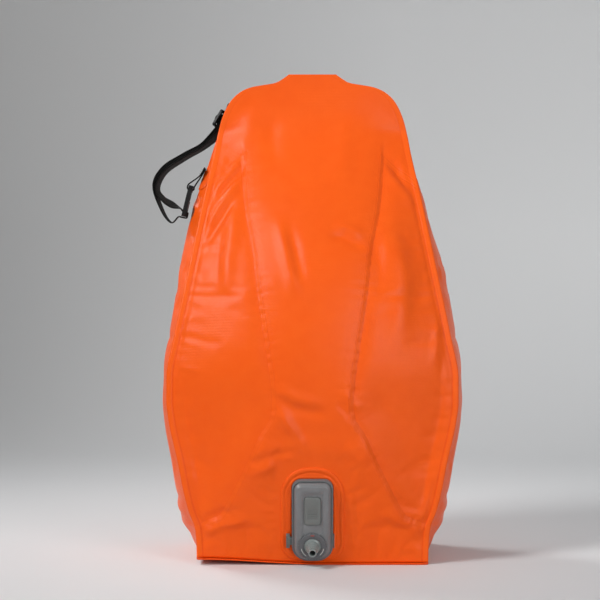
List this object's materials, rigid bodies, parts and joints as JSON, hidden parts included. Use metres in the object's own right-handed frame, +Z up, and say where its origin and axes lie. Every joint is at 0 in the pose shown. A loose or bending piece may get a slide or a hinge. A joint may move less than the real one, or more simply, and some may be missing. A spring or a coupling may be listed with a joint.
{
  "type": "camp shower bag",
  "caption": "Standing coated-fabric water bag with a clip-in pump outlet low on the front, a screw filler on the back and a clip-on shoulder strap.",
  "frame": {"origin": "middle of the underside of the base, on the floor", "axes": "+X to the bag's left as seen from behind, which is the viewer's right; +Y from the outlet on the front towards the filler on the back; +Z up"},
  "size_m": [0.3537, 0.2359, 0.545],
  "materials": {
    "orange_fabric": "satin coated",
    "base_fabric": "satin coated",
    "webbing": "matte woven",
    "bezel_plastic": "satin",
    "housing_plastic": "satin",
    "button_plastic": "matte",
    "nozzle_plastic": "satin",
    "pump_plastic": "gloss",
    "black_plastic": "matte",
    "seal_rubber": "matte",
    "steel": "brushed",
    "board_laminate": "matte",
    "battery_sleeve": "gloss"
  },
  "bodies": {
    "bag": {"back_panel": "orange_fabric", "base_panel": "base_fabric", "filler_backing_ring": "black_plastic", "filler_neck": "black_plastic", "fixed_catch": "button_plastic", "front_centre_panel": "orange_fabric", "front_left_panel": "orange_fabric", "front_right_panel": "orange_fabric", "intake_seal": "seal_rubber", "intake_strainer": "bezel_plastic", "left_anchor_loop": "webbing", "left_anchor_patch": "orange_fabric", "left_gusset": "orange_fabric", "left_hook": "black_plastic", "module_socket": "bezel_plastic", "outlet_patch": "orange_fabric", "right_anchor_loop": "webbing", "right_anchor_patch": "orange_fabric", "right_gusset": "orange_fabric", "right_hook": "black_plastic", "strap_adjuster": "black_plastic", "strap_webbing": "webbing"},
    "module": {"front_housing": "housing_plastic", "rear_housing": "housing_plastic", "housing_seal": "seal_rubber", "housing_screw_1": "steel", "housing_screw_2": "steel", "housing_screw_3": "steel", "housing_screw_4": "steel", "button_membrane": "seal_rubber", "tactile_switch": "steel", "circuit_board": "board_laminate", "battery_cell": "battery_sleeve", "pump_motor": "steel", "shaft_seal": "seal_rubber", "pump_chamber": "pump_plastic", "valve_tube": "pump_plastic", "nozzle_seal": "seal_rubber", "hose_nozzle": "nozzle_plastic"},
    "button": {"power_button": "button_plastic"},
    "dial": {"flow_dial": "button_plastic"},
    "impeller": {"pump_impeller": "pump_plastic"},
    "release": {"release_button": "button_plastic"},
    "cap_lift": {"cap_gasket": "seal_rubber"},
    "cap": {"filler_cap": "black_plastic"},
    "left_gate": {"left_hook_gate": "black_plastic"},
    "right_gate": {"right_hook_gate": "black_plastic"}
  },
  "joints": [
    {"name": "module_pull", "type": "slide", "parent": "bag", "child": "module", "axis": [0, -0.9763, -0.2164], "range_m": [0, 0.03]},
    {"name": "power_press", "type": "slide", "parent": "module", "child": "button", "axis": [0, 0.9763, 0.2164], "range_m": [0, 0.0008], "stiffness_N_per_m": 900, "springref_m": -0.001},
    {"name": "flow_turn", "type": "hinge", "parent": "module", "child": "dial", "pos_m": [0, -0.09971, 0.02346], "axis": [0, -0.9763, -0.2164], "range_deg": [-120, 120]},
    {"name": "impeller_spin", "type": "hinge", "parent": "module", "child": "impeller", "pos_m": [0, -0.07549, 0.04727], "axis": [0, 0.9763, 0.2164], "continuous": true},
    {"name": "release_press", "type": "slide", "parent": "bag", "child": "release", "axis": [1, 0, 0], "range_m": [0, 0.002], "stiffness_N_per_m": 1200, "springref_m": -0.001},
    {"name": "filler_cap_lift", "type": "slide", "parent": "bag", "child": "cap_lift", "axis": [0, 0.9816, 0.1908], "range_m": [0, 0.0135]},
    {"name": "filler_cap_turn", "type": "hinge", "parent": "cap_lift", "child": "cap", "pos_m": [0, 0.10178, 0.30231], "axis": [0, 0.9816, 0.1908], "range_deg": [0, 540]},
    {"name": "left_gate_swing", "type": "hinge", "parent": "bag", "child": "left_gate", "pos_m": [-0.14128, 0.0177, 0.40237], "axis": [0.9703, 0, -0.2419], "range_deg": [0, 30], "stiffness_Nm_per_rad": 0.008, "springref_deg": -17.19},
    {"name": "right_gate_swing", "type": "hinge", "parent": "bag", "child": "right_gate", "pos_m": [0.0857, 0.06528, 0.40238], "axis": [0, -0.9781, -0.2079], "range_deg": [0, 30], "stiffness_Nm_per_rad": 0.008, "springref_deg": -17.19}
  ],
  "couplings": [
    {"joint": "filler_cap_turn", "follows": "filler_cap_lift", "rad_per_m": 698.12}
  ]
}
